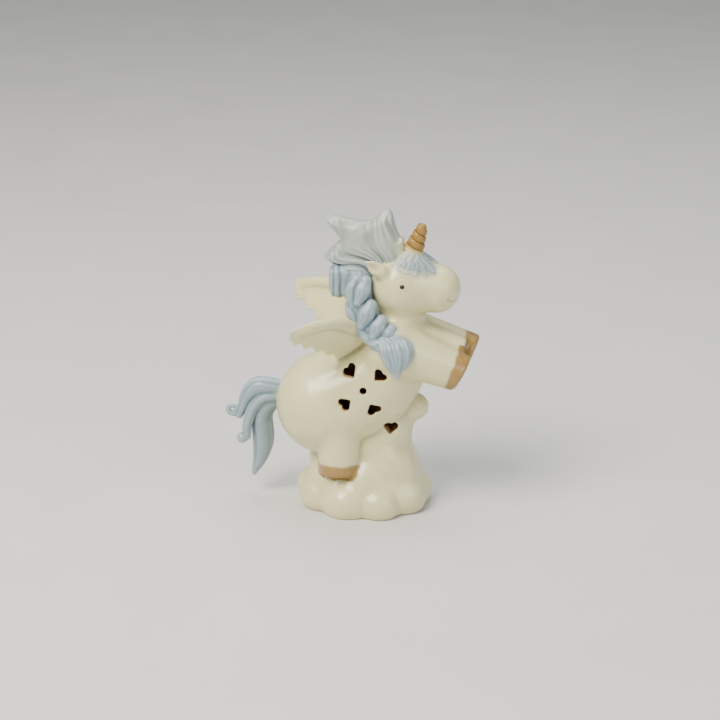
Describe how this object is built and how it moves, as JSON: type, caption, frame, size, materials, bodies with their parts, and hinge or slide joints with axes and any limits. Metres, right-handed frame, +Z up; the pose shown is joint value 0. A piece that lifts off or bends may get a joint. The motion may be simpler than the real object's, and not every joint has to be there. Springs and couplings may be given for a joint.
{
  "type": "figurine night light",
  "caption": "Porcelain unicorn standing on a pierced cloud base, with a plug-in battery light, a hinged battery door and a slide switch underneath.",
  "frame": {"origin": "bottom centre of the figure's box, on the table", "axes": "+X the way the unicorn faces, +Y its left side, +Z up"},
  "size_m": [0.1245, 0.0746, 0.1501],
  "materials": {
    "porcelain_ivory": "clear gloss glaze over ivory slip",
    "porcelain_blue": "powder blue airbrushed under a satin glaze",
    "hoof_gilt": "brushed ochre gold lustre",
    "horn_gilt": "brushed ochre gold lustre, darker in the grooves",
    "eye_glaze": "black gloss glaze dot",
    "housing_plastic": "fine spark texture",
    "slider_plastic": "fine matte",
    "grip_rubber": "soft matte silicone",
    "board_laminate": "green solder mask",
    "lens_epoxy": "clear cast epoxy",
    "lead_steel": "tinned",
    "cell_steel": "bright nickel plated",
    "contact_brass": "stamped strip",
    "switch_steel": "folded and tinned",
    "pin_steel": "ground",
    "screw_steel": "zinc plated"
  },
  "bodies": {
    "figure": {"trunk": "porcelain_ivory", "cloud_base": "porcelain_ivory", "head": "porcelain_ivory", "right_hind_leg": "porcelain_ivory", "left_hind_leg": "porcelain_ivory", "right_foreleg": "porcelain_ivory", "left_foreleg": "porcelain_ivory", "right_ear": "porcelain_ivory", "left_ear": "porcelain_ivory", "right_wing": "porcelain_ivory", "left_wing": "porcelain_ivory", "right_hind_hoof": "hoof_gilt", "left_hind_hoof": "hoof_gilt", "right_fore_hoof": "hoof_gilt", "left_fore_hoof": "hoof_gilt", "horn": "horn_gilt", "right_eye": "eye_glaze", "left_eye": "eye_glaze", "tail": "porcelain_blue", "forelock": "porcelain_blue", "mane_crest": "porcelain_blue", "mane_back_lock": "porcelain_blue", "braid": "porcelain_blue"},
    "light_module": {"light_housing": "housing_plastic", "housing_cover": "housing_plastic", "grip_ring": "grip_rubber", "circuit_board": "board_laminate", "led_lens": "lens_epoxy", "led_leads": "lead_steel", "coin_cell": "cell_steel", "upper_contact": "contact_brass", "switch_case": "switch_steel", "hinge_pin": "pin_steel", "right_cover_screw": "screw_steel", "left_cover_screw": "screw_steel"},
    "door": {"battery_door": "housing_plastic", "lower_contact": "contact_brass"},
    "slider": {"switch_slider": "slider_plastic"}
  },
  "joints": [
    {"name": "module_pull", "type": "slide", "parent": "figure", "child": "light_module", "axis": [0, 0, -1], "range_m": [0, 0.03]},
    {"name": "door_hinge", "type": "hinge", "parent": "light_module", "child": "door", "pos_m": [-0.0049, 0, 0.0016], "axis": [0, 1, 0], "range_deg": [0, 95]},
    {"name": "switch_slide", "type": "slide", "parent": "light_module", "child": "slider", "axis": [0, 1, 0], "range_m": [-0.002, 0.002]}
  ]
}
